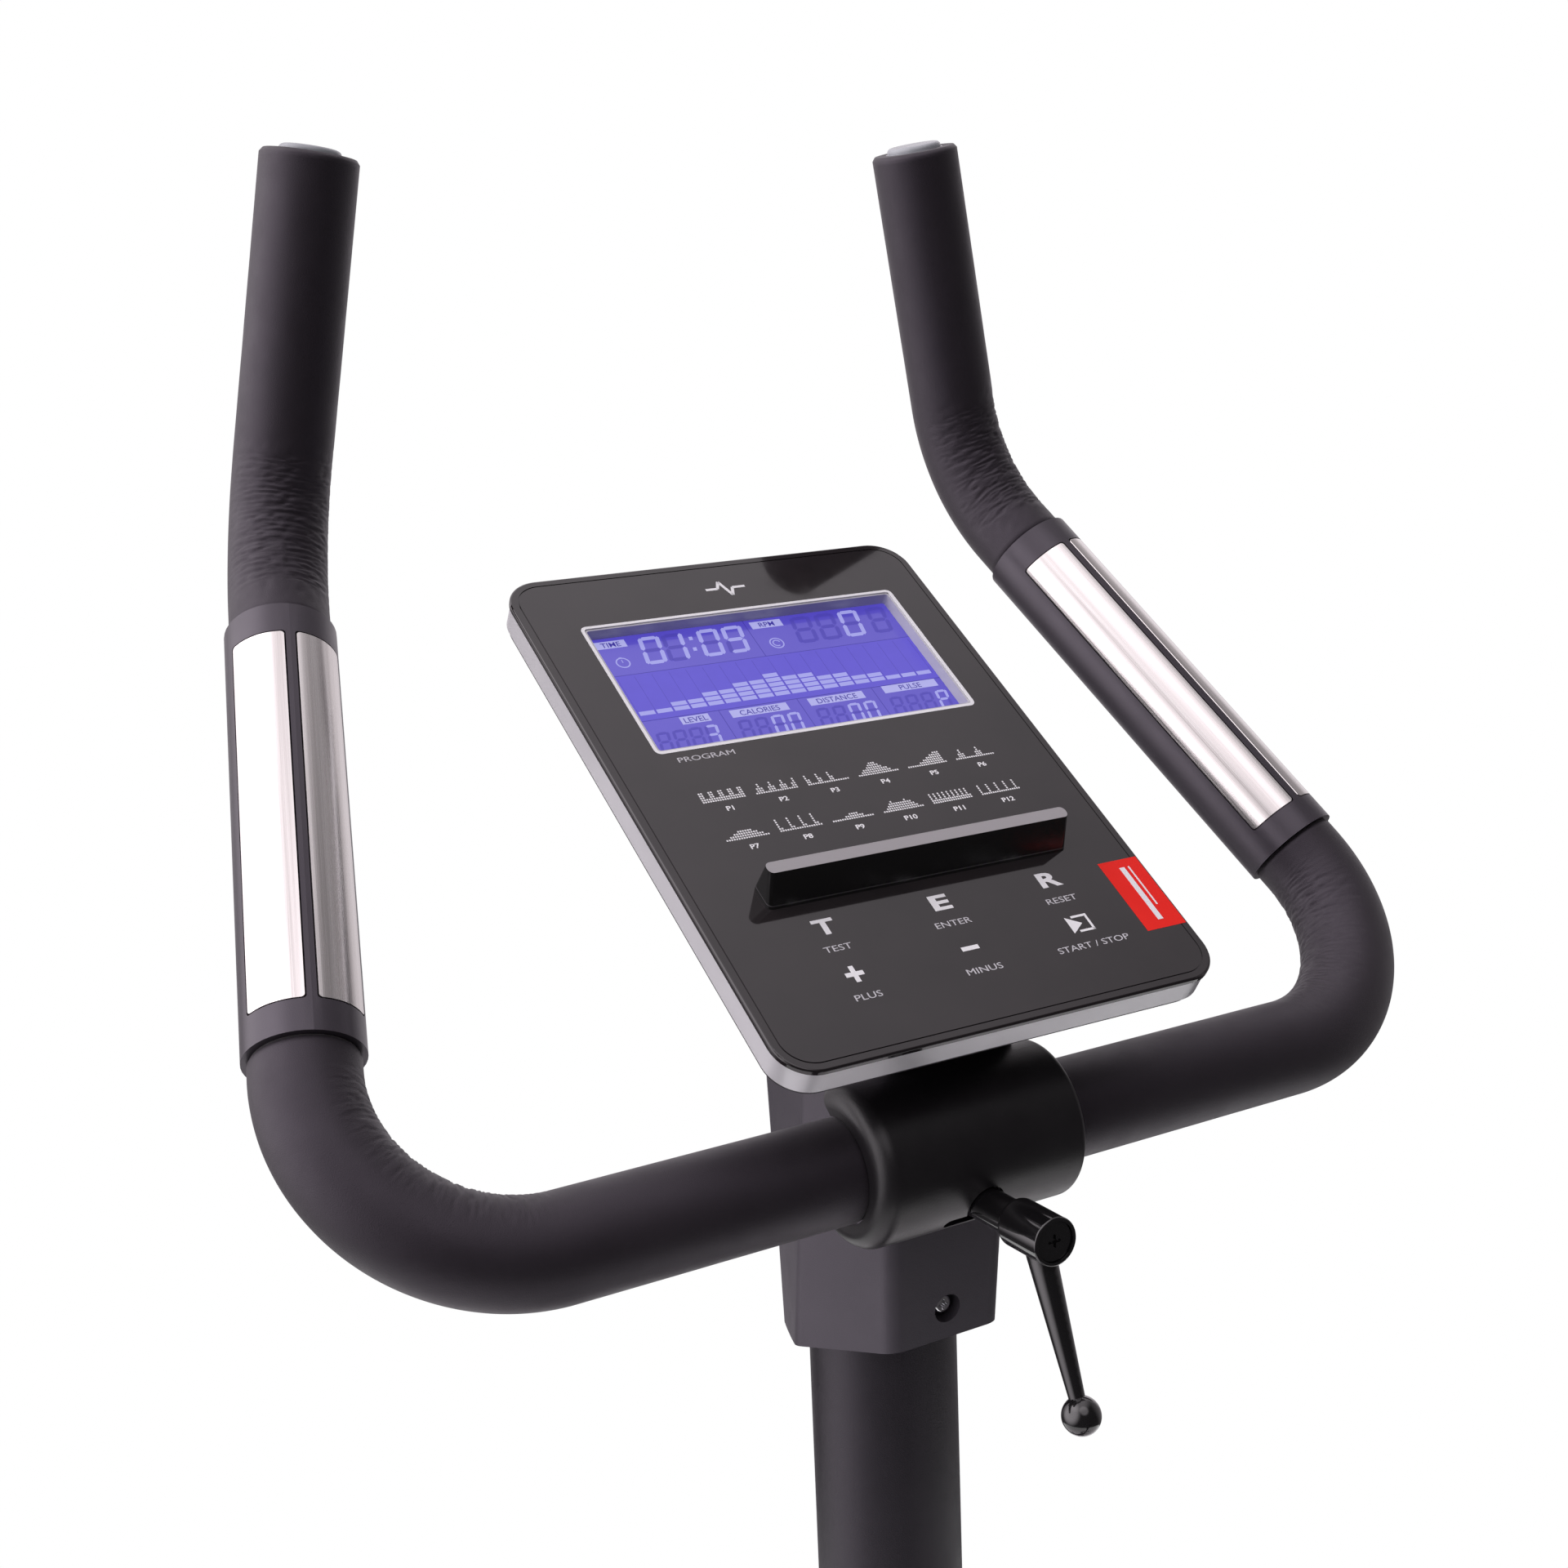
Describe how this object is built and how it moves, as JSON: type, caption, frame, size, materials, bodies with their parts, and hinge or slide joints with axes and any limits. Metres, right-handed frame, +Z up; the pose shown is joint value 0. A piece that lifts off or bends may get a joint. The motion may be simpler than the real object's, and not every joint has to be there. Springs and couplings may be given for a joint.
{
  "type": "upright exercise bike",
  "caption": "Upright magnetic exercise bike with tilting foam-covered handlebar, pulse sensors, tilted display console, cranks, flywheel and adjustable saddle.",
  "frame": {"origin": "on the floor, under the middle of the footprint", "axes": "+X rider's right, +Y forwards, +Z up"},
  "size_m": [0.54, 1, 1.4459],
  "materials": {
    "frame_paint": "satin black powder coat",
    "black_plastic": "fine moulded texture",
    "charcoal_plastic": "satin",
    "gloss_face": "gloss",
    "silver_plastic": "satin silver",
    "lcd": "backlit liquid crystal",
    "circuit": "solder mask",
    "foam": "skinned foam",
    "steel_plate": "brushed",
    "chrome": "polished",
    "zinc_steel": "zinc plated",
    "lever_black": "gloss black",
    "cast_wheel": "machined rim",
    "pulley_plastic": "moulded",
    "belt_rubber": "ribbed",
    "wheel_rubber": "hard",
    "crank_steel": "gloss black",
    "saddle_cover": "grained vinyl over foam",
    "cap_grey": "satin",
    "magnet": "nickel",
    "copper_screw": "plated"
  },
  "bodies": {
    "frame": {"main_frame": "frame_paint", "front_stabiliser": "frame_paint", "rear_stabiliser": "frame_paint", "stabiliser_end_caps": "black_plastic", "frame_bolts": "zinc_steel", "transport_axles": "zinc_steel", "seat_tube": "frame_paint", "seat_post_bush": "black_plastic", "bottom_bracket": "frame_paint", "ball_bearings": "zinc_steel", "mast": "frame_paint", "mast_boot": "black_plastic", "flywheel_brackets": "frame_paint", "brake_motor": "black_plastic", "speed_sensor": "black_plastic", "dc_inlet": "black_plastic", "casing_left": "charcoal_plastic", "casing_right": "charcoal_plastic", "cover_screws": "copper_screw", "mast_cover": "charcoal_plastic", "bar_shroud": "black_plastic", "clamp_head": "frame_paint", "console_face": "gloss_face", "console_band": "silver_plastic", "console_rear_case": "black_plastic", "lcd_panel": "lcd", "console_board": "circuit", "tablet_ledge": "black_plastic", "drive_belt": "belt_rubber"},
    "handlebar": {"handlebar_tube": "zinc_steel", "lower_foam_grips": "foam", "horn_foam_grips": "foam", "sensor_housings": "charcoal_plastic", "sensor_plates": "steel_plate", "bar_end_caps": "cap_grey"},
    "lever": {"clamp_lever": "lever_black", "lever_screw": "lever_black"},
    "crank": {"crank_axle": "zinc_steel", "crank_arm_left": "crank_steel", "crank_arm_right": "crank_steel", "drive_pulley": "pulley_plastic", "pedal_axles": "zinc_steel"},
    "pedal_l": {"pedal_left": "black_plastic", "pedal_strap_left": "black_plastic"},
    "pedal_r": {"pedal_right": "black_plastic", "pedal_strap_right": "black_plastic"},
    "flywheel": {"flywheel": "cast_wheel", "flywheel_axle": "zinc_steel", "flywheel_pulley": "zinc_steel"},
    "brake": {"brake_arm": "zinc_steel", "brake_magnets": "magnet"},
    "wheel_l": {"transport_wheel_left": "wheel_rubber"},
    "wheel_r": {"transport_wheel_right": "wheel_rubber"},
    "post": {"seat_post": "chrome"},
    "saddle": {"saddle_slider": "frame_paint", "saddle_rails": "zinc_steel", "saddle_shell": "black_plastic", "saddle_cushion": "saddle_cover"},
    "knob_height": {"height_knob": "black_plastic"},
    "knob_slide": {"slide_knob": "black_plastic"}
  },
  "joints": [
    {"name": "handlebar_tilt", "type": "hinge", "parent": "frame", "child": "handlebar", "pos_m": [0, 0.18, 1.1], "axis": [1, 0, 0], "range_deg": [-30, 45]},
    {"name": "lever_turn", "type": "hinge", "parent": "frame", "child": "lever", "pos_m": [-0.0065, 0.13, 1.08971], "axis": [0, -0.9945, 0.1045], "range_deg": [-90, 90]},
    {"name": "crank_spin", "type": "hinge", "parent": "frame", "child": "crank", "pos_m": [0, 0.02, 0.31], "axis": [1, 0, 0], "continuous": true},
    {"name": "flywheel_spin", "type": "hinge", "parent": "frame", "child": "flywheel", "pos_m": [0, 0.325, 0.27], "axis": [1, 0, 0], "continuous": true},
    {"name": "pedal_left_spin", "type": "hinge", "parent": "crank", "child": "pedal_l", "pos_m": [-0.139, -0.15, 0.31], "axis": [1, 0, 0], "continuous": true},
    {"name": "pedal_right_spin", "type": "hinge", "parent": "crank", "child": "pedal_r", "pos_m": [0.139, 0.19, 0.31], "axis": [1, 0, 0], "continuous": true},
    {"name": "brake_swing", "type": "hinge", "parent": "frame", "child": "brake", "pos_m": [0, 0.2447, 0.38468], "axis": [1, 0, 0], "range_deg": [0, 4]},
    {"name": "transport_left_spin", "type": "hinge", "parent": "frame", "child": "wheel_l", "pos_m": [-0.2525, 0.47, 0.033], "axis": [1, 0, 0], "continuous": true},
    {"name": "transport_right_spin", "type": "hinge", "parent": "frame", "child": "wheel_r", "pos_m": [0.2525, 0.47, 0.033], "axis": [1, 0, 0], "continuous": true},
    {"name": "seat_height", "type": "slide", "parent": "frame", "child": "post", "axis": [0, -0.2924, 0.9563], "range_m": [-0.12, 0.12]},
    {"name": "saddle_fore_aft", "type": "slide", "parent": "post", "child": "saddle", "axis": [0, 1, 0], "range_m": [-0.045, 0.045]},
    {"name": "height_knob_turn", "type": "hinge", "parent": "frame", "child": "knob_height", "pos_m": [0, -0.15034, 0.57103], "axis": [0, -0.9563, -0.2924], "range_deg": [-180, 180]},
    {"name": "slide_knob_turn", "type": "hinge", "parent": "saddle", "child": "knob_slide", "pos_m": [0.03, -0.245, 0.788], "axis": [1, 0, 0], "range_deg": [-180, 180]}
  ],
  "couplings": [
    {"joint": "flywheel_spin", "follows": "crank_spin", "ratio": 6}
  ]
}
